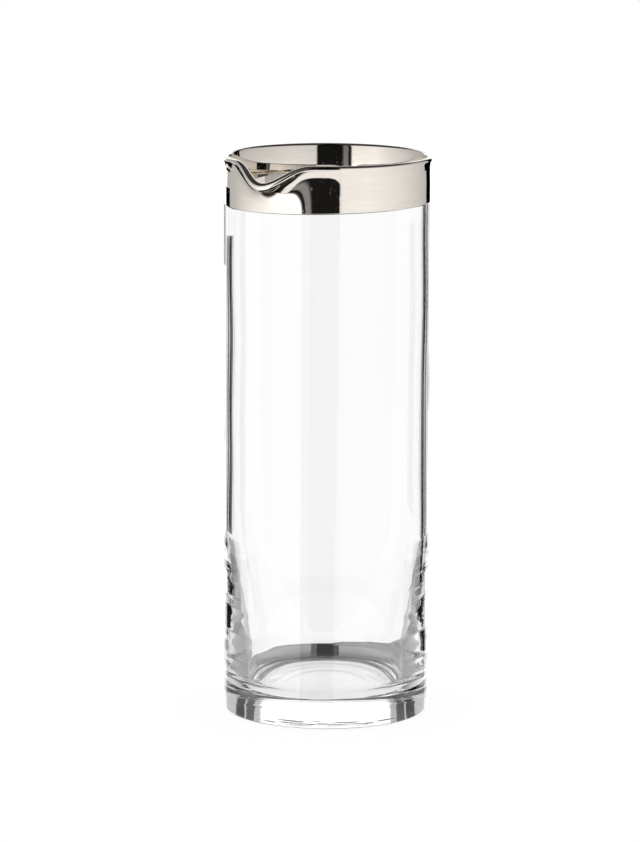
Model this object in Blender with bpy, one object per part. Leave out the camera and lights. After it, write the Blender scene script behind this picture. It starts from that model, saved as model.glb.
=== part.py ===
"""Crystal carafe: a blown glass cylinder with a heavy base and a pulled spout, and the platinum band on its lip.

Metres, +Z up. The origin lies on the body's axis, in the flat face that the carafe stands on. The spout points to -Y.
Each piece is turned from a half section, and then its top is pulled out and down into the spout.
"""

import math

import bmesh
import bpy
from mathutils import Matrix, Vector

# Glass body
HEIGHT = 0.261  # standing face to the top of the lip, away from the spout
BODY_DIAMETER = 0.096
WALL = 0.0036  # plain side wall
NECK = 0.0027  # wall just under the lip, where blowing has thinned it
NECK_LENGTH = 0.014  # from the plain wall to the top of the lip
LIP = 0.0031  # round lip that the flame leaves
LIP_LENGTH = 0.005  # from the neck to the top of the lip
BASE = 0.011  # glass under the floor
LOW_WALL = 0.0104  # wall just above the floor's fillet
THICKENING = 0.065  # height over which the plain wall thickens to the low wall
THICKENING_POWER = 1.3  # 1 would be a cone
FLOOR_FILLET = 0.010
HEEL_RADIUS = 0.002  # between the standing face and the side

# Spout, pulled from the lip while the glass is hot
SPOUT_WIDTH = 0.056  # along the rim
SPOUT_REACH = 0.0056  # how far the lip's middle is drawn out
SPOUT_DROP = 0.0091  # how far it is drawn down
SPOUT_SWELL = 0.5  # share by which the glass of the spout's lip is thicker
CURL_RADIUS = 0.0113  # of the round over which the wall turns outwards
PULL_LENGTH = 0.021  # how far below the lip the wall starts to give
RIM_FLARE = 0.0011  # how far the rest of the lip opens outwards
RIM_FLARE_LENGTH = 0.018
RIM_FLARE_POWER = 2  # 1 would be a cone

# Platinum band, fired on over the lip
BAND_DEPTH = 0.022  # from the lip down the outside and down the inside
COAT = 0.0002
COAT_CLEARANCE = 0.0002  # between the glass and the coat

# Facets
TURN_STEPS = 80  # round the axis
CROWDING = 0.35  # share by which they are narrower at the spout, and wider at the back
PULL_STEPS = 8  # up the part of the wall that is pulled
PULL_STEP_POWER = 1.5  # above 1, these steps are closer together towards the lip
LIP_STEPS = 6  # round the lip
HEEL_STEPS = 3
THICKENING_STEPS = 7
FILLET_STEPS = 6
SHARP_ANGLE = math.radians(40)  # edges that turn more than this aren't shaded smooth

BODY_RADIUS = BODY_DIAMETER / 2
MIDDLE_RADIUS = BODY_RADIUS - WALL / 2  # the side wall's middle surface
WALL_TOP = HEIGHT - LIP / 2  # where the wall ends and the round lip begins
PULL_FOOT = HEIGHT - PULL_LENGTH
BAND_FOOT = HEIGHT - BAND_DEPTH
SPOUT_DIRECTION = -math.pi / 2
ANGLE_STEP = 1e-3  # steps for measuring the middle surface's slopes
HEIGHT_STEP = 1e-4
MERGE_DISTANCE = 1e-5


def rise(height, length):
    """How far up the last stretch of the wall a height is: 0 at its start, 1 where the lip begins."""
    start = HEIGHT - length
    return min(1.0, max(0.0, (height - start) / (WALL_TOP - start)))


def blend(share):
    """A share from 0 to 1, eased at both ends."""
    return share**2 * (3 - 2 * share)


def from_spout(angle):
    """An angle about the axis, counted from the spout's middle, between minus and plus half a turn."""
    return math.remainder(angle - SPOUT_DIRECTION, math.tau)


def bell(angle):
    """1 in the spout's middle, falling smoothly to 0 at its sides."""
    arc = abs(from_spout(angle)) * BODY_RADIUS
    return math.cos(math.pi * min(0.5, arc / SPOUT_WIDTH)) ** 4


def middle_surface(angle, height):
    """The point of the wall's middle surface that stood at this angle and height before the spout was pulled.

    There the wall settles, and its top turns outwards over the curl's round. Its points stay evenly spread along it.
    """
    pull = bell(angle)
    turn = math.acos(1 - SPOUT_REACH * pull / CURL_RADIUS)
    upright = WALL_TOP - SPOUT_DROP * pull - CURL_RADIUS * math.sin(turn) - PULL_FOOT
    path = rise(height, PULL_LENGTH) * (upright + CURL_RADIUS * turn)
    turned = max(0.0, path - upright) / CURL_RADIUS
    reach = CURL_RADIUS * (1 - math.cos(turned))
    climb = min(path, upright) + CURL_RADIUS * math.sin(turned)
    flare = RIM_FLARE * (1 - pull) * rise(height, RIM_FLARE_LENGTH) ** RIM_FLARE_POWER
    radius = MIDDLE_RADIUS + reach + flare
    return Vector((radius * math.cos(angle), radius * math.sin(angle), PULL_FOOT + climb))


def pulled(point):
    """Where a point of the plain turned shape goes when the spout is pulled and the rim flared."""
    if point.z <= PULL_FOOT:
        return point
    angle = math.atan2(point.y, point.x)
    height = min(point.z, WALL_TOP)
    swell = 1 + SPOUT_SWELL * bell(angle) * rise(height, LIP_LENGTH)
    outward = swell * (math.hypot(point.x, point.y) - MIDDLE_RADIUS)
    past_wall = swell * (point.z - height)
    here = middle_surface(angle, height)
    along = middle_surface(angle + ANGLE_STEP, height) - middle_surface(angle - ANGLE_STEP, height)
    up = here - middle_surface(angle, height - HEIGHT_STEP)
    normal = along.cross(up).normalized()
    return here + normal * outward + up.normalized() * past_wall


def arc_points(centre, radius, start, end, steps):
    """Points of an arc in the half section, as (distance from axis, height). Angles run from 0, which is outwards."""
    angles = [start + (end - start) * i / steps for i in range(steps + 1)]
    return [(centre[0] + radius * math.cos(a), centre[1] + radius * math.sin(a)) for a in angles]


def lip_points(margin):
    """The round over the top of the wall, at a margin from the glass, from the outside to the inside."""
    return arc_points((MIDDLE_RADIUS, WALL_TOP), LIP / 2 + margin, 0, math.pi, LIP_STEPS)


def wall_points(side, margin, foot):
    """Points up the wall from a foot to the lip, at a margin from the glass. Side is 1 outside and -1 inside."""
    shares = [1 - (1 - step / PULL_STEPS) ** PULL_STEP_POWER for step in range(PULL_STEPS)]
    heights = {BAND_FOOT, *(PULL_FOOT + (WALL_TOP - PULL_FOOT) * share for share in shares)}
    points = []
    for height in sorted(height for height in heights if height >= foot):
        thinning = (WALL - NECK) * blend(rise(height, NECK_LENGTH))
        bead = (LIP - NECK) * blend(rise(height, LIP_LENGTH))
        thickness = WALL - thinning + bead
        points.append((MIDDLE_RADIUS + side * (thickness / 2 + margin), height))
    return points


def inside_points():
    """The inside from the plain wall down to the floor: it thickens to the low wall, and turns in a fillet."""
    swell = LOW_WALL - WALL
    lean = math.atan(THICKENING_POWER * swell / THICKENING)
    low = BASE + FLOOR_FILLET * (1 - math.sin(lean))
    points = []
    for step in range(THICKENING_STEPS):
        share = step / THICKENING_STEPS
        radius = BODY_RADIUS - WALL - swell * share**THICKENING_POWER
        points.append((radius, low + THICKENING * (1 - share)))
    centre = (BODY_RADIUS - LOW_WALL - FLOOR_FILLET * math.cos(lean), BASE + FLOOR_FILLET)
    return points + arc_points(centre, FLOOR_FILLET, -lean, -math.pi / 2, FILLET_STEPS)


def glass_section():
    """Half section of the glass, from the middle of the standing face round to the middle of the floor."""
    heel_centre = (BODY_RADIUS - HEEL_RADIUS, HEEL_RADIUS)
    foot = min(PULL_FOOT, BAND_FOOT)
    return [
        (0.0, 0.0),
        *arc_points(heel_centre, HEEL_RADIUS, -math.pi / 2, 0, HEEL_STEPS),
        *wall_points(1, 0, foot),
        *lip_points(0),
        *reversed(wall_points(-1, 0, foot)),
        *inside_points(),
        (0.0, BASE),
    ]


def band_section():
    """Half section of the platinum: a channel turned over the lip, from its outer foot round and back."""
    near = COAT_CLEARANCE
    far = near + COAT
    return [
        *wall_points(1, far, BAND_FOOT),
        *lip_points(far),
        *reversed(wall_points(-1, far, BAND_FOOT)),
        *wall_points(-1, near, BAND_FOOT),
        *reversed(lip_points(near)),
        *reversed(wall_points(1, near, BAND_FOOT)),
    ]


def crowded(point):
    """A point turned about the axis, so that evenly spaced points lie closer together at the spout."""
    angle = math.atan2(point.y, point.x)
    return Matrix.Rotation(-CROWDING * math.sin(from_spout(angle)), 3, "Z") @ point


def split_facets(shape):
    """Splits each four-sided facet so that its diagonal climbs towards the spout, in the glass as in the coat."""
    for facet in [face for face in shape.faces if len(face.verts) == 4]:
        corners = list(facet.verts)
        lower_two = sorted(corners, key=lambda corner: corner.co.z)[:2]
        start = max(lower_two, key=lambda corner: corner.co.y)
        across = corners[corners.index(start) - 2]
        bmesh.utils.face_split(facet, start, across)


def turned_piece(name, section, closed, material):
    """A piece turned from its half section about +Z, with the spout pulled from its lip."""
    shape = bmesh.new()
    points = [shape.verts.new((radius, 0.0, height)) for radius, height in section]
    pairs = zip(points, points[1:] + points[:1] if closed else points[1:])
    edges = [shape.edges.new(pair) for pair in pairs]
    bmesh.ops.spin(
        shape,
        geom=points + edges,
        cent=(0, 0, 0),
        axis=(0, 0, 1),
        angle=math.tau,
        steps=TURN_STEPS,
        use_merge=True,
    )
    bmesh.ops.remove_doubles(shape, verts=shape.verts, dist=MERGE_DISTANCE)
    split_facets(shape)
    for vertex in shape.verts:
        vertex.co = pulled(crowded(vertex.co))
    bmesh.ops.recalc_face_normals(shape, faces=shape.faces)
    mesh = bpy.data.meshes.new(name)
    shape.to_mesh(mesh)
    shape.free()
    mesh.shade_smooth()
    mesh.set_sharp_from_angle(angle=SHARP_ANGLE)
    mesh.materials.append(material)
    piece = bpy.data.objects.new(name, mesh)
    bpy.context.collection.objects.link(piece)
    return piece


def crystal():
    """Clear, colourless crystal."""
    material = bpy.data.materials.new("crystal")
    material.use_nodes = True
    shader = material.node_tree.nodes["Principled BSDF"]
    shader.inputs["Base Color"].default_value = (0.98, 0.99, 0.99, 1)
    shader.inputs["Roughness"].default_value = 0.0
    shader.inputs["Transmission Weight"].default_value = 1.0
    shader.inputs["IOR"].default_value = 1.54
    return material


def platinum():
    """Bright platinum, a warm grey mirror."""
    material = bpy.data.materials.new("platinum")
    material.use_nodes = True
    shader = material.node_tree.nodes["Principled BSDF"]
    shader.inputs["Base Color"].default_value = (0.78, 0.74, 0.69, 1)
    shader.inputs["Metallic"].default_value = 1.0
    shader.inputs["Roughness"].default_value = 0.04
    return material


def main():
    for old in list(bpy.data.objects):
        bpy.data.objects.remove(old)
    turned_piece("glass_body", glass_section(), False, crystal())
    turned_piece("platinum_band", band_section(), True, platinum())


main()
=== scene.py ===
"""Looks of the crystal carafe: fine glass and platinum, a pale floor, soft studio light and the camera.

Metres, +Z up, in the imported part's frame: the axis is Z, the standing face is at 0 and the spout points to
-Y. Both pieces are turned from a half section and then pulled into the spout, as the plain solids are, in
finer steps.
"""

import math

import bpy
import numpy as np
from mathutils import Matrix, Vector


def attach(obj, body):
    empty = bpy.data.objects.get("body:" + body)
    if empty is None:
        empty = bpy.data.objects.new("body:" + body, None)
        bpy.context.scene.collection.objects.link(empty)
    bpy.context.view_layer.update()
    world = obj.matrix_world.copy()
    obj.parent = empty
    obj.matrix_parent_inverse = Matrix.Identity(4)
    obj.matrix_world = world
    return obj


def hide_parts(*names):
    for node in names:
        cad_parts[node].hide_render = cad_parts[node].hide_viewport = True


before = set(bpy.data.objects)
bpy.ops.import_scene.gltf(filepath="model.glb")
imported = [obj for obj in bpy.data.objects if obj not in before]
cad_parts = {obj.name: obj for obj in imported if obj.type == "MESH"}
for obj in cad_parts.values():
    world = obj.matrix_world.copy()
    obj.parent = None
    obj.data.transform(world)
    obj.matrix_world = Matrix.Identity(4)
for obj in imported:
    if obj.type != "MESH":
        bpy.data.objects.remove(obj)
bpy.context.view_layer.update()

# Glass body
HEIGHT = 0.261
BODY_RADIUS = 0.048
WALL = 0.0040
NECK = 0.0027  # wall just under the lip
NECK_LENGTH = 0.014
LIP = 0.0028
LIP_LENGTH = 0.005
BASE = 0.011  # glass under the floor
LOW_WALL = 0.0104  # wall just above the floor's fillet
THICKENING = 0.065  # height over which the plain wall thickens to the low wall
THICKENING_POWER = 1.3
FLOOR_FILLET = 0.0092
HEEL_RADIUS = 0.002

# Spout
SPOUT_WIDTH = 0.056
SPOUT_REACH = 0.0056
SPOUT_DROP = 0.0091
SPOUT_SWELL = 0.5
PULL_LENGTH = 0.021
RIM_FLARE = 0.0013
RIM_FLARE_LENGTH = 0.018
RIM_FLARE_POWER = 3.5

# Platinum band: a thin film close to the glass, brushed on by hand
BAND_DEPTH = 0.022
BAND_SLANT = 0.0011  # how much deeper it runs on its deep side than on average
BAND_DEEP_SIDE = math.radians(-150)
COAT = 0.00004
COAT_CLEARANCE = 0.00003

# Unevenness of the blown glass: spacing up the inside, depth, lobes round the axis, start
SWAYS = [(0.110, 0.00012, 1, 0.6), (0.060, 0.00005, -2, 2.0)]  # of the whole wall
RIPPLES = [(0.0105, 0.000024, 0, 0.4), (0.0062, 0.00001, 0, 4.0)]  # near the floor
RIPPLE_SIDE = math.radians(35.4)  # where round the axis, and opposite, the ripples are deepest
RIPPLE_LEAST = 0.15  # share of their depth a quarter turn from there
FOOT_RINGS = [(0.0090, 0.00004, 1, 0.3), (0.0060, 0.00003, 0, 1.9)]  # of the hollow standing face
FOOT_WAVES = [(0.0090, 0.000085, 5, 0.3), (0.0060, 0.000055, -9, 1.9)]  # of its uneven side
UNEVEN_SIDE = math.radians(-54.6)  # where round the axis that is
SWAY_START = 0.03  # path down the inside over which the sways grow
RIPPLE_START = 0.03  # path below the plain wall over which the ripples grow
SMOOTH_CENTRE = 0.030  # path to the middle of the floor over which both fade
SMOOTH_FOOT = 0.014  # radius within which the foot has no rings or waves; they are whole at twice that
HOLLOW = 0.00025  # how far the standing face is hollowed inside its rim
HOLLOW_START = 0.005  # path in from the heel over which the hollow grows

# Fineness of the meshes
TURN_STEPS = 264
PULL_STEPS = 44
LIP_STEPS = 20
SIDE_STEPS = 24
HEEL_STEPS = 8
THICKENING_STEPS = 100
FILLET_STEPS = 26
FLOOR_STEPS = 30
FOOT_STEPS = 56
CENTRE = 0.0006  # radius of the small flat facet that closes each end of the turned glass

MIDDLE_RADIUS = BODY_RADIUS - WALL / 2
WALL_TOP = HEIGHT - LIP / 2
PULL_FOOT = HEIGHT - PULL_LENGTH
BAND_FOOT = HEIGHT - BAND_DEPTH
SPOUT_DIRECTION = -math.pi / 2
ANGLE_STEP = 1e-4  # steps for measuring the middle surface's slopes
HEIGHT_STEP = 1e-5
SMALLEST_TURN = 1e-6  # of the arc along which the wall leans out

# Materials: noises by scale, and ramps by the noise's level
NOISE_DETAIL = 3.0
CRYSTAL_IOR = 1.54
CRYSTAL_TINT_SCALE = 9.0
CRYSTAL_TINTS = [(0.3, (0.990, 0.990, 0.992)), (0.7, (0.997, 0.997, 0.999))]
SCUFF_HEIGHT = 0.0004  # above the table, up to which the foot is scuffed
SCUFF_SCALE = 700.0
SCUFF_ROUGHNESS = [(0.45, 0.0), (0.65, 0.4)]
CRYSTAL_BUMP_SCALE = 45.0
CRYSTAL_BUMP = 0.01
STROKE_SCALE = 55.0
STROKE_STRETCH = 9.0  # how much finer the strokes are along the axis than round it
PLATINUM_TINTS = [(0.3, (0.75, 0.70, 0.64)), (0.7, (0.80, 0.755, 0.695))]
SPECK_SCALE = 850.0
SPECK_ROUGHNESS = [(0.66, 0.03), (0.74, 0.3)]
PLATINUM_BUMP = 0.015
BUMP_DISTANCE = 0.0002
MIX_SHARE, MIX_FIRST, MIX_SECOND, MIX_RESULT = 0, 6, 7, 2  # sockets of a node that mixes colours

# Camera
AZIMUTH = math.radians(35.4)  # from the spout's direction
CAMERA_DISTANCE = 2.09  # along the floor
CAMERA_HEIGHT = 0.5001
CAMERA_PITCH = math.radians(9.878)
CAMERA_YAW = math.radians(0.087)
CAMERA_ROLL = math.radians(0.265)
SENSOR = 36  # millimetres, along the image's long side
LENS = 194.65
BOUNCES = 24  # of a ray of light in the glass
ONE_WALL = 2  # surfaces that a ray passes in going through one wall, or in and out on the same side

# Studio that shining surfaces mirror, and that the glass shows towards the front
WALLS = [
    (-180, 1.5), (-150, 1.5), (-149, 0.55), (-140, 0.58), (-124, 0.65), (-93, 1.06), (-75, 1.27), (-60, 1.5),
    (-29.5, 1.5), (-28, 0.012), (-24.8, 0.012), (-24, 0.3), (-18.8, 0.3), (-18, 0.012), (13.5, 0.012),
    (14.2, 1.1), (45, 1.15), (90, 0.95), (138.5, 0.6), (149, 0.6), (150, 1.5), (180, 1.5),
]  # bearings in degrees from the camera, positive to the right, and brightness
WALLS_STRENGTH = 1.6  # brightest that the ramp of bearings can hold
BOARD_TOPS = [
    (-180, 90), (-29.5, 90), (-28, 20), (-20, 17), (1, 17), (8, 14), (12, 9), (14.3, 6), (15, 90), (180, 90),
]  # bearings, and degrees below the horizon at which a white board starts below the dark gap
BOARD_DEPTHS = [(90, 0.03), (40, 0.03), (34, 1.1), (0, 1.1)]  # its brightness by degrees below the horizon
BOARD_SOFTNESS = 0.02  # of its upper edge
DEPTHS = [(0, 1.0), (42, 1.0), (52, 0.03)]  # share of all this by degrees below the horizon
HEIGHTS = [(0, 1.0), (12, 0.78), (30, 0.7), (38, 0.05)]  # and by degrees above it

# Stage
FLOOR_RADIUS = 4.0
FLOOR_SIDES = 96
FLOOR_DROP = 0.0002  # of the floor below the standing face, which most flat sheets are level with
SHEET_GAP = 0.0001  # between sheets that lie on each other
FLOOR_GLOW = 0.9
FLOOR_PAINT = 0.12
ALL_RAYS = ("camera", "diffuse", "glossy", "transmission", "shadow")
FLOOR_RAYS = ("camera", "diffuse", "shadow")
THROUGH_RAYS = ("transmission",)  # what only the glass shows
SHINE_RAYS = ("glossy",)  # what only shining surfaces show

# Floor that the glass shows, with a painted shadow round the foot
THROUGH_RADIUS = 0.12  # out to here it is shaded by distance from the axis
THROUGH_SHADES = [
    (0.0, 0.84), (0.0466, 0.84), (0.0473, 0.04), (0.0482, 0.04), (0.0492, 0.15), (0.056, 0.34), (0.064, 0.38),
    (0.070, 0.25), (0.073, 0.97), (THROUGH_RADIUS, 1.0),
]  # distance from the axis, and brightness: painted shade under the foot and a painted shadow round it
AHEAD_GLOW = 0.5  # painted dim brightness in front, where the near wall's inner face mirrors it
AHEAD_GAP = ((166, 201), (THROUGH_RADIUS, FLOOR_RADIUS))  # bearings and distances of its part painted black
STRIPE_NEAR = 0.0487  # distances behind the axis, between which the stripes of painted shade lie
STRIPE_FAR = 0.071
PAINTED_SHADE_STRIPES = {
    "painted_shade_stripe": (-0.0053, 0.0077, 0.0),
    "painted_shade_stripe_grey": (-0.0088, -0.0053, 0.1),
}  # left edge, right edge and brightness of each stripe of painted shade behind the foot
SHADE_CORNERS = [
    (0.0596, -0.02), (0.0596, 0.0205), (0.063, 0.057), (0.084, 0.1006), (0.1226, 0.158), (0.19, 0.258),
    (0.29, 0.135), (0.11, 0.045), (0.085, -0.02),
]  # distances to the side and behind, of the shade on either side
SHADE_GLOW = 0.4
RIGHT_SHADE = [
    (3, 0.073), (8, 0.079), (20, 0.0885), (45, 0.089), (64, 0.094), (64, 0.066), (34, 0.066), (3, 0.066),
]  # bearings and distances of the corners of the wider shade on the right
RIGHT_SHADE_GLOW = 0.25
RIGHT_FOOT = ((36, 45), (0.15, 0.4))  # bearings and distances of floor on the right painted dark as shade

# Upright cards behind the carafe and at its sides
CARD_DISTANCE = 0.4
FENCE_DISTANCE = 0.1
LEFT_TOP = 0.174
RIGHT_TOP = 0.6
FENCE_TOP = 0.064
CARDS = {
    "left_outer": (THROUGH_RAYS, 0.0, (-37.5, -47), CARD_DISTANCE, 0.0, LEFT_TOP),
    "left_inner": (THROUGH_RAYS, 0.05, (-30, -36), CARD_DISTANCE, 0.0, LEFT_TOP),
    "left_edge": (SHINE_RAYS, 0.0, (-8, -33), CARD_DISTANCE, 0.157, 0.19),
    "left_wing": (SHINE_RAYS, 0.0, (-31, -50), CARD_DISTANCE, 0.0, LEFT_TOP),
    "left_end": (SHINE_RAYS, 0.0, (-32, -47), CARD_DISTANCE, 0.19, 0.2005),
    "left_fence": (SHINE_RAYS, 0.0, (-58, -104), FENCE_DISTANCE, 0.0, FENCE_TOP),
    "right_outer": (THROUGH_RAYS, 0.0, (37.5, 47), CARD_DISTANCE, 0.0, RIGHT_TOP),
    "right_inner": (THROUGH_RAYS, 0.05, (30, 36), CARD_DISTANCE, 0.0, RIGHT_TOP),
    "right_wing": (SHINE_RAYS, 0.0, (43, 50), CARD_DISTANCE, 0.0, 0.188),
    "right_end": (SHINE_RAYS, 0.0, (30, 46), CARD_DISTANCE, 0.0, RIGHT_TOP),
    "right_fence": (SHINE_RAYS, 0.0, (58, 104), FENCE_DISTANCE, 0.0, FENCE_TOP),
}  # what shows them, and their brightness, bearings from straight behind, distance, bottom and top


def rise(height, length):
    """How far up the last stretch of the wall a height is: 0 at its start, 1 where the lip begins."""
    start = HEIGHT - length
    return np.clip((height - start) / (WALL_TOP - start), 0, 1)


def blend(share):
    """A share from 0 to 1, eased at both ends."""
    return share**2 * (3 - 2 * share)


def bell(angle):
    """1 in the spout's middle, falling smoothly to 0 at its sides."""
    turned = np.remainder(angle - SPOUT_DIRECTION + math.pi, math.tau) - math.pi
    return np.cos(math.pi * np.minimum(0.5, np.abs(turned) * BODY_RADIUS / SPOUT_WIDTH)) ** 4


def middle_surface(angle, height):
    """Points of the wall's middle surface that stood at these angles and heights before the spout was pulled.

    There the wall settles, and leans outwards along an arc that starts upright at the foot of the pull.
    """
    pull = bell(angle)
    whole_climb = WALL_TOP - PULL_FOOT - SPOUT_DROP * pull
    turn = np.maximum(2 * np.arctan2(SPOUT_REACH * pull, whole_climb), SMALLEST_TURN)
    turned = turn * rise(height, PULL_LENGTH)
    reach = SPOUT_REACH * pull * (np.sin(turned / 2) / np.sin(turn / 2)) ** 2
    climb = whole_climb * np.sin(turned) / np.sin(turn)
    flare = RIM_FLARE * (1 - pull) * rise(height, RIM_FLARE_LENGTH) ** RIM_FLARE_POWER
    radius = MIDDLE_RADIUS + reach + flare
    return np.stack([radius * np.cos(angle), radius * np.sin(angle), PULL_FOOT + climb], -1)


def unit(vectors):
    """Vectors at length 1."""
    return vectors / np.linalg.norm(vectors, axis=-1, keepdims=True)


def pulled(angle, radius, height):
    """Where points of the plain turned shape go when the spout is pulled and the rim flared."""
    top = np.clip(height, PULL_FOOT + HEIGHT_STEP, WALL_TOP)
    swell = 1 + SPOUT_SWELL * bell(angle) * rise(top, LIP_LENGTH)
    outward = (swell * (radius - MIDDLE_RADIUS))[..., None]
    past_wall = (swell * np.maximum(0, height - WALL_TOP))[..., None]
    here = middle_surface(angle, top)
    along = middle_surface(angle + ANGLE_STEP, top) - middle_surface(angle - ANGLE_STEP, top)
    up = unit(here - middle_surface(angle, top - HEIGHT_STEP))
    carried = here + unit(np.cross(along, up)) * outward + up * past_wall
    plain = np.stack([radius * np.cos(angle), radius * np.sin(angle), height], -1)
    return np.where((height <= PULL_FOOT)[..., None], plain, carried)


def arc_points(centre, radius, start, end, steps):
    """Points of an arc in the half section, as (distance from axis, height). Angle 0 points outwards."""
    angles = np.linspace(start, end, steps + 1)
    return np.stack([centre[0] + radius * np.cos(angles), centre[1] + radius * np.sin(angles)], -1)


def straight_points(start, end, steps):
    """Points from start towards end, without the end itself."""
    return np.linspace(start, end, steps, endpoint=False)


def lip_points(margin):
    """The round over the top of the wall, at a margin from the glass, from the outside to the inside."""
    return arc_points((MIDDLE_RADIUS, WALL_TOP), LIP / 2 + margin, 0, math.pi, LIP_STEPS)


def wall_points(side, margin, foot):
    """Points up the wall to the lip, at a margin from the glass. Side is 1 outside and -1 inside."""
    height = straight_points(foot, WALL_TOP, PULL_STEPS)
    thinning = (WALL - NECK) * blend(rise(height, NECK_LENGTH))
    bead = (LIP - NECK) * blend(rise(height, LIP_LENGTH))
    thickness = WALL - thinning + bead
    return np.stack([MIDDLE_RADIUS + side * (thickness / 2 + margin), height], -1)


def inside_points():
    """The inside from the pulled part to the floor: it thickens to the low wall, and turns in a fillet."""
    swell = LOW_WALL - WALL
    lean = math.atan(THICKENING_POWER * swell / THICKENING)
    low = BASE + FLOOR_FILLET * (1 - math.sin(lean))
    inside = BODY_RADIUS - WALL
    plain = straight_points((inside, PULL_FOOT), (inside, low + THICKENING), SIDE_STEPS)
    share = straight_points(0, 1, THICKENING_STEPS)
    thick = np.stack([inside - swell * share**THICKENING_POWER, low + THICKENING * (1 - share)], -1)
    centre = (BODY_RADIUS - LOW_WALL - FLOOR_FILLET * math.cos(lean), BASE + FLOOR_FILLET)
    fillet = arc_points(centre, FLOOR_FILLET, -lean, -math.pi / 2, FILLET_STEPS)
    floor = straight_points((CENTRE, BASE), (centre[0], BASE), FLOOR_STEPS)
    return np.concatenate([plain, thick, fillet, floor[::-1]])


def waves(kinds, angles, path):
    """Depth of a few waves at each angle, along a path."""
    return sum(
        depth * np.sin(math.tau * path / spacing + lobes * angles + start)
        for spacing, depth, lobes, start in kinds
    )


def uneven_inside(angles):
    """The inside at each angle, with the wall's slow sways, and fine ripples low down and on the floor."""
    inside = inside_points()
    steps = np.gradient(inside, axis=0)
    path = np.cumsum(np.linalg.norm(steps, axis=1)) - np.linalg.norm(steps[0])
    into_room = unit(np.stack([steps[:, 1], -steps[:, 0]], -1))
    centre_fade = blend(np.clip((path[-1] - path) / SMOOTH_CENTRE, 0, 1))
    sway_fade = blend(np.clip(path / SWAY_START, 0, 1)) * centre_fade
    ripple_fade = blend(np.clip((path - path[SIDE_STEPS]) / RIPPLE_START, 0, 1)) * centre_fade
    turn = angles[:, None]
    sides = RIPPLE_LEAST + (1 - RIPPLE_LEAST) * np.cos(turn - RIPPLE_SIDE) ** 2
    depth = sway_fade * waves(SWAYS, turn, path) + sides * ripple_fade * waves(RIPPLES, turn, path)
    return inside + depth[..., None] * into_room


def hollow_foot(angles, rim):
    """The standing face at each angle, from its middle to its rim: slightly hollow, with rings and waves."""
    radius = np.tile(straight_points(CENTRE, rim, FOOT_STEPS), (len(angles), 1))
    grown = blend(np.clip((rim - radius) / HOLLOW_START, 0, 1))
    turn = angles[:, None]
    uneven = np.maximum(0, np.cos(turn - UNEVEN_SIDE)) ** 2
    waviness = waves(FOOT_RINGS, turn, radius) + uneven * waves(FOOT_WAVES, turn, radius)
    fade = blend(np.clip(radius / SMOOTH_FOOT - 1, 0, 1))
    return np.stack([radius, grown * (HOLLOW + waviness * fade)], -1)


def glass_sections(angles):
    """Half sections of the glass, from the middle of the standing face round to the middle of the floor."""
    heel_centre = (BODY_RADIUS - HEEL_RADIUS, HEEL_RADIUS)
    outside = np.concatenate([
        arc_points(heel_centre, HEEL_RADIUS, -math.pi / 2, 0, HEEL_STEPS),
        straight_points((BODY_RADIUS, HEEL_RADIUS), (BODY_RADIUS, PULL_FOOT), SIDE_STEPS)[1:],
        wall_points(1, 0, PULL_FOOT),
        lip_points(0),
        wall_points(-1, 0, PULL_FOOT)[:0:-1],
    ])
    sides = np.tile(outside, (len(angles), 1, 1))
    return np.concatenate([hollow_foot(angles, heel_centre[0]), sides, uneven_inside(angles)], axis=1)


def band_section(foot):
    """Half section of the platinum: a channel turned over the lip, from its outer foot round and back."""
    near = COAT_CLEARANCE
    far = near + COAT
    return np.concatenate([
        wall_points(1, far, foot),
        lip_points(far),
        wall_points(-1, far, foot)[::-1],
        wall_points(-1, near, foot),
        lip_points(near)[::-1],
        wall_points(1, near, foot)[::-1],
    ])


def turned_piece(name, sections, closed, material):
    """A piece with one half section at each angle round +Z, closed on itself or by a facet at each end."""
    turns, steps = sections.shape[:2]
    angles = np.linspace(0, math.tau, turns, endpoint=False)[:, None]
    points = pulled(angles, sections[..., 0], sections[..., 1]).reshape(-1, 3)
    faces = []
    for turn in range(turns):
        here = turn * steps
        following = (turn + 1) % turns * steps
        for step in range(steps if closed else steps - 1):
            after = (step + 1) % steps
            faces.append((here + step, following + step, following + after, here + after))
    if not closed:
        faces.append([turn * steps for turn in reversed(range(turns))])
        faces.append([turn * steps + steps - 1 for turn in range(turns)])
    mesh = bpy.data.meshes.new(name)
    mesh.from_pydata(points.tolist(), [], faces)
    mesh.shade_smooth()
    mesh.materials.append(material)
    piece = bpy.data.objects.new(name, mesh)
    bpy.context.collection.objects.link(piece)
    return piece


def add_node(tree, kind, inputs=None, **settings):
    """A new shader node, with its settings, and its inputs set to values or linked to outputs."""
    node = tree.nodes.new(kind)
    for name, value in settings.items():
        setattr(node, name, value)
    for name, value in (inputs or {}).items():
        if isinstance(value, bpy.types.NodeSocket):
            tree.links.new(value, node.inputs[name])
        else:
            node.inputs[name].default_value = value
    return node


def add_math(tree, operation, *values, clamp=False):
    """What an operation makes of plain values or other nodes' outputs."""
    inputs = dict(enumerate(values))
    return add_node(tree, "ShaderNodeMath", inputs, operation=operation, use_clamp=clamp).outputs[0]


def add_range(tree, value, start, end):
    """How far a value is from start to end, from 0 to 1."""
    inputs = {"Value": value, "From Min": start, "From Max": end}
    return add_node(tree, "ShaderNodeMapRange", inputs).outputs["Result"]


def add_ramp(tree, share, stops):
    """A ramp of greys or colours over a share from 0 to 1."""
    ramp = add_node(tree, "ShaderNodeValToRGB", {"Fac": share})
    elements = ramp.color_ramp.elements
    while len(elements) < len(stops):
        elements.new(1)
    for element, (place, shade) in zip(elements, stops):
        element.position = place
        element.color = (*shade, 1) if isinstance(shade, tuple) else (shade, shade, shade, 1)
    return ramp.outputs["Color"]


def add_mix(tree, share, first, second, **settings):
    """A mix of two colours."""
    inputs = {MIX_SHARE: share, MIX_FIRST: first, MIX_SECOND: second}
    return add_node(tree, "ShaderNodeMix", inputs, data_type="RGBA", **settings).outputs[MIX_RESULT]


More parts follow.
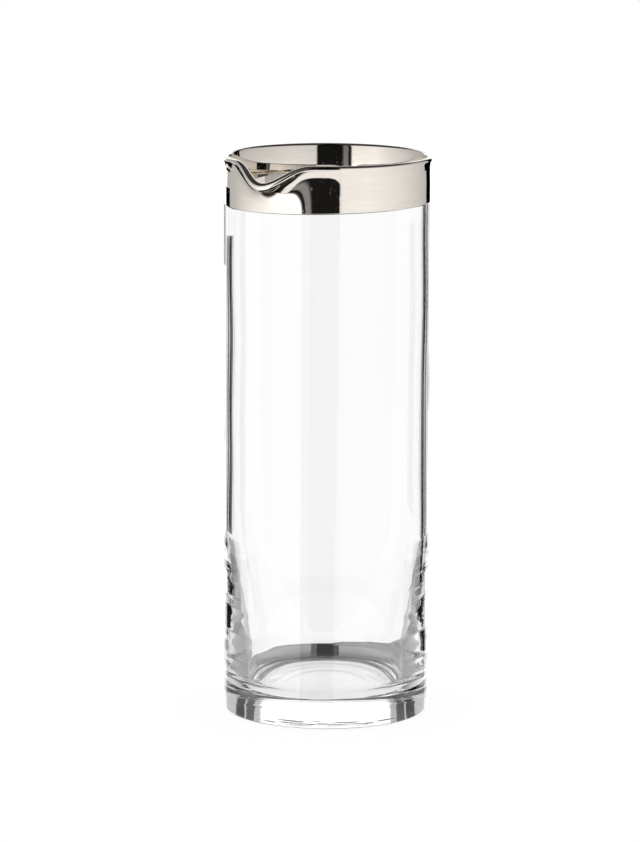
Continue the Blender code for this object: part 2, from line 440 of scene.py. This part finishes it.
def new_material(name):
    """A material and its shader."""
    material = bpy.data.materials.new(name)
    material.use_nodes = True
    return material, material.node_tree.nodes["Principled BSDF"]


def noise(tree, scale, stretch=1.0):
    """Noise in the piece's own space, finer along its axis than round it by a stretch."""
    place = add_node(tree, "ShaderNodeTexCoord").outputs["Object"]
    mapped = add_node(tree, "ShaderNodeMapping", {"Vector": place, "Scale": (1, 1, stretch)})
    inputs = {"Vector": mapped.outputs["Vector"], "Scale": scale, "Detail": NOISE_DETAIL}
    return add_node(tree, "ShaderNodeTexNoise", inputs).outputs["Fac"]


def link_bump(tree, shader, height, strength):
    """Raises a surface by a noise."""
    inputs = {"Height": height, "Strength": strength, "Distance": BUMP_DISTANCE}
    bump = add_node(tree, "ShaderNodeBump", inputs)
    tree.links.new(bump.outputs["Normal"], shader.inputs["Normal"])


def crystal():
    """Clear, colourless crystal, a little uneven, with a scuffed ring where it stands."""
    material, shader = new_material("crystal")
    tree = material.node_tree
    tint = add_ramp(tree, noise(tree, CRYSTAL_TINT_SCALE), CRYSTAL_TINTS)
    tree.links.new(tint, shader.inputs["Base Color"])
    place = add_node(tree, "ShaderNodeTexCoord").outputs["Object"]
    height = add_node(tree, "ShaderNodeSeparateXYZ", {"Vector": place}).outputs["Z"]
    near_table = add_range(tree, height, SCUFF_HEIGHT, 0.0)
    scuffs = add_ramp(tree, noise(tree, SCUFF_SCALE), SCUFF_ROUGHNESS)
    tree.links.new(add_math(tree, "MULTIPLY", near_table, scuffs), shader.inputs["Roughness"])
    shader.inputs["Transmission Weight"].default_value = 1.0
    shader.inputs["IOR"].default_value = CRYSTAL_IOR
    link_bump(tree, shader, noise(tree, CRYSTAL_BUMP_SCALE), CRYSTAL_BUMP)
    return material


def platinum():
    """Bright platinum, a warm grey mirror with faint strokes of the brush and a few specks."""
    material, shader = new_material("platinum")
    tree = material.node_tree
    strokes = noise(tree, STROKE_SCALE, STROKE_STRETCH)
    tree.links.new(add_ramp(tree, strokes, PLATINUM_TINTS), shader.inputs["Base Color"])
    shader.inputs["Metallic"].default_value = 1.0
    specks = add_ramp(tree, noise(tree, SPECK_SCALE), SPECK_ROUGHNESS)
    tree.links.new(specks, shader.inputs["Roughness"])
    link_bump(tree, shader, strokes, PLATINUM_BUMP)
    return material


def finish_piece(piece, node):
    """Hides the node that a piece replaces, and makes the piece ride on the only body."""
    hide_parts(node)
    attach(piece, "root")


def carafe():
    """The glass and its band."""
    angles = np.linspace(0, math.tau, TURN_STEPS, endpoint=False)
    glass = turned_piece("glass_fine", glass_sections(angles), False, crystal())
    finish_piece(glass, "glass_body")
    feet = BAND_FOOT - BAND_SLANT * np.cos(angles - BAND_DEEP_SIDE)
    sections = np.stack([band_section(foot) for foot in feet])
    band = turned_piece("platinum_fine", sections, True, platinum())
    finish_piece(band, "platinum_band")


def sine(degrees):
    return math.sin(math.radians(degrees))


def cosine(degrees):
    return math.cos(math.radians(degrees))


def bearing_stops(stops, value):
    """Stops of a ramp over all bearings, from half a turn left to half a turn right of the camera."""
    return [((bearing + 180) / 360, value(shade)) for bearing, shade in stops]


def studio_colour(tree, axes, front):
    """Brightness by direction: walls with a dark gap, a board below it, and a dim top and bottom."""
    bearing = add_math(tree, "ARCTAN2", axes["X"], front)
    turn = add_range(tree, bearing, -math.pi, math.pi)
    walls = add_ramp(tree, turn, bearing_stops(WALLS, lambda shade: shade / WALLS_STRENGTH))
    board_top = add_ramp(tree, turn, bearing_stops(BOARD_TOPS, sine))
    above = add_math(tree, "ADD", axes["Z"], board_top)
    off_board = add_range(tree, above, -BOARD_SOFTNESS, BOARD_SOFTNESS)
    depth = add_math(tree, "ADD", axes["Z"], 1.0, clamp=True)
    board_stops = [(1 - sine(angle), shade / WALLS_STRENGTH) for angle, shade in BOARD_DEPTHS]
    colour = add_mix(tree, off_board, add_ramp(tree, depth, board_stops), walls)
    for sign, shares in ((1.0, HEIGHTS), (-1.0, DEPTHS)):
        off_level = add_math(tree, "MULTIPLY", axes["Z"], sign, clamp=True)
        dimming = add_ramp(tree, off_level, [(sine(angle), share) for angle, share in shares])
        colour = add_mix(tree, 1.0, colour, dimming, blend_type="MULTIPLY")
    return colour


def studio_world():
    """White all round, but surfaces that shine, and the glass towards the front, show the studio."""
    world = bpy.data.worlds.new("studio")
    bpy.context.scene.world = world
    world.use_nodes = True
    tree = world.node_tree
    tree.nodes.clear()
    place = add_node(tree, "ShaderNodeTexCoord").outputs["Generated"]
    turned = add_node(tree, "ShaderNodeMapping", {"Vector": place, "Rotation": (0, 0, -AZIMUTH)})
    axes = add_node(tree, "ShaderNodeSeparateXYZ", {"Vector": turned.outputs["Vector"]}).outputs
    front = add_math(tree, "MULTIPLY", axes["Y"], -1.0)
    colour = studio_colour(tree, axes, front)
    studio = add_node(tree, "ShaderNodeBackground", {"Color": colour, "Strength": WALLS_STRENGTH})
    white = add_node(tree, "ShaderNodeBackground", {"Color": (1, 1, 1, 1)})
    path = add_node(tree, "ShaderNodeLightPath").outputs
    ahead = add_math(tree, "GREATER_THAN", front, 0.0)
    mirrored = add_math(tree, "MULTIPLY_ADD", ahead, path["Is Transmission Ray"], path["Is Glossy Ray"])
    both = add_node(tree, "ShaderNodeMixShader", {0: mirrored, 1: white.outputs[0], 2: studio.outputs[0]})
    add_node(tree, "ShaderNodeOutputWorld", {"Surface": both.outputs[0]})


def paper(name, glow, paint=0.0):
    """Matt paper that also gives off light."""
    material, shader = new_material(name)
    shader.inputs["Base Color"].default_value = (paint, paint, paint, 1)
    shader.inputs["Roughness"].default_value = 1
    shader.inputs["Specular IOR Level"].default_value = 0
    shader.inputs["Emission Color"].default_value = (1, 1, 1, 1)
    shader.inputs["Emission Strength"].default_value = glow
    return material


def once_through(tree):
    """1 for rays that have been through no more than one wall, and 0 for others."""
    passes = add_node(tree, "ShaderNodeLightPath").outputs["Transmission Depth"]
    return add_math(tree, "LESS_THAN", passes, ONE_WALL + 1)


def dim(material, share, glow):
    """Dims a paper to a glow, by a share."""
    tree = material.node_tree
    strength = add_math(tree, "MULTIPLY_ADD", share, glow - 1, 1.0)
    tree.links.new(strength, tree.nodes["Principled BSDF"].inputs["Emission Strength"])


def gap_floor():
    """Floor painted black where the near wall's inner face mirrors it."""
    material = paper("ahead_gap", 1.0)
    dim(material, once_through(material.node_tree), 0.0)
    return material


def shaded_floor():
    """Floor as the glass shows it: painted dim in front for some rays, with a painted soft shadow round the
    foot.
    """
    material = paper("floor_through", 1.0)
    tree = material.node_tree
    place = add_node(tree, "ShaderNodeTexCoord").outputs["Object"]
    to_back = add_node(tree, "ShaderNodeSeparateXYZ", {"Vector": place}).outputs["Y"]
    ahead = add_math(tree, "LESS_THAN", to_back, -THROUGH_RADIUS)
    dim(material, add_math(tree, "MULTIPLY", ahead, once_through(tree)), AHEAD_GLOW)
    distance = add_node(tree, "ShaderNodeVectorMath", {0: place}, operation="LENGTH").outputs["Value"]
    share = add_math(tree, "DIVIDE", distance, THROUGH_RADIUS, clamp=True)
    stops = [(radius / THROUGH_RADIUS, shade) for radius, shade in THROUGH_SHADES]
    tree.links.new(add_ramp(tree, share, stops), tree.nodes["Principled BSDF"].inputs["Emission Color"])
    return material


def sheet(name, corners, material, rays):
    """A flat sheet of the studio, turned to the camera, that only some kinds of ray see."""
    mesh = bpy.data.meshes.new(name)
    mesh.from_pydata(corners, [], [tuple(range(len(corners)))])
    mesh.materials.append(material)
    obj = bpy.data.objects.new(name, mesh)
    obj.rotation_euler = (0, 0, AZIMUTH)
    bpy.context.collection.objects.link(obj)
    for ray in ALL_RAYS:
        setattr(obj, f"visible_{ray}", ray in rays)


def behind(bearing, distance):
    """A place by its bearing in degrees from straight behind, positive to the right, and its distance."""
    return distance * sine(bearing), distance * cosine(bearing)


def upright(bearings, distance, bottom, top):
    """Corners of an upright card."""
    inner, outer = (behind(bearing, distance) for bearing in bearings)
    return [(*inner, bottom), (*outer, bottom), (*outer, top), (*inner, top)]


def sector(bearings, distances, height):
    """Corners of a piece of the floor between two bearings and two distances."""
    inner, outer = bearings
    near, far = distances
    return [(*behind(b, d), height) for b, d in ((inner, near), (inner, far), (outer, far), (outer, near))]


def floor_sheets():
    """The floor, and what the glass shows in its place."""
    angles = np.linspace(0, math.tau, FLOOR_SIDES, endpoint=False)
    disc = [(FLOOR_RADIUS * math.cos(a), FLOOR_RADIUS * math.sin(a), -FLOOR_DROP) for a in angles]
    sheet("floor", disc, paper("floor_white", FLOOR_GLOW, FLOOR_PAINT), FLOOR_RAYS)
    sheet("floor_through", disc, shaded_floor(), THROUGH_RAYS)
    # stripes of painted shade on the floor behind the foot, which only the glass shows
    for name, (left, right, glow) in PAINTED_SHADE_STRIPES.items():
        near = [(left, STRIPE_NEAR, 0), (right, STRIPE_NEAR, 0)]
        far = [(right, STRIPE_FAR, 0), (left, STRIPE_FAR, 0)]
        sheet(name, near + far, paper(name, glow), THROUGH_RAYS)
    grey = paper("shade_grey", SHADE_GLOW)
    for name, side in (("left", -1), ("right", 1)):
        sheet(f"shade_{name}", [(side * x, y, 0) for x, y in SHADE_CORNERS], grey, THROUGH_RAYS)
    # floor on the right painted black as shade, which only the glass shows
    sheet("foot_right", sector(*RIGHT_FOOT, SHEET_GAP), paper("painted_shade_black", 0.0), THROUGH_RAYS)
    sheet("ahead_gap", sector(*AHEAD_GAP, 0), gap_floor(), THROUGH_RAYS)
    wide = [(*behind(bearing, distance), 0) for bearing, distance in RIGHT_SHADE]
    sheet("shade_wide", wide, paper("shade_wide", RIGHT_SHADE_GLOW), THROUGH_RAYS)


def stage():
    """The floor and the cards."""
    floor_sheets()
    for name, (rays, glow, *card) in CARDS.items():
        sheet(name, upright(*card), paper(name, glow), rays)


def camera():
    """The photo's camera."""
    data = bpy.data.cameras.new("camera")
    data.sensor_width = SENSOR
    data.lens = LENS
    obj = bpy.data.objects.new("camera", data)
    bpy.context.collection.objects.link(obj)
    side = CAMERA_DISTANCE * math.sin(AZIMUTH)
    eye = Vector((side, -CAMERA_DISTANCE * math.cos(AZIMUTH), CAMERA_HEIGHT))
    pan = Matrix.Rotation(AZIMUTH + CAMERA_YAW, 4, "Z")
    tilt = Matrix.Rotation(math.pi / 2 - CAMERA_PITCH, 4, "X")
    obj.matrix_world = Matrix.Translation(eye) @ pan @ tilt @ Matrix.Rotation(CAMERA_ROLL, 4, "Z")
    bpy.context.scene.camera = obj


carafe()
studio_world()
stage()
camera()
scene = bpy.context.scene
scene.view_settings.view_transform = "Standard"
scene.cycles.max_bounces = BOUNCES
scene.cycles.transmission_bounces = BOUNCES
scene.cycles.glossy_bounces = BOUNCES
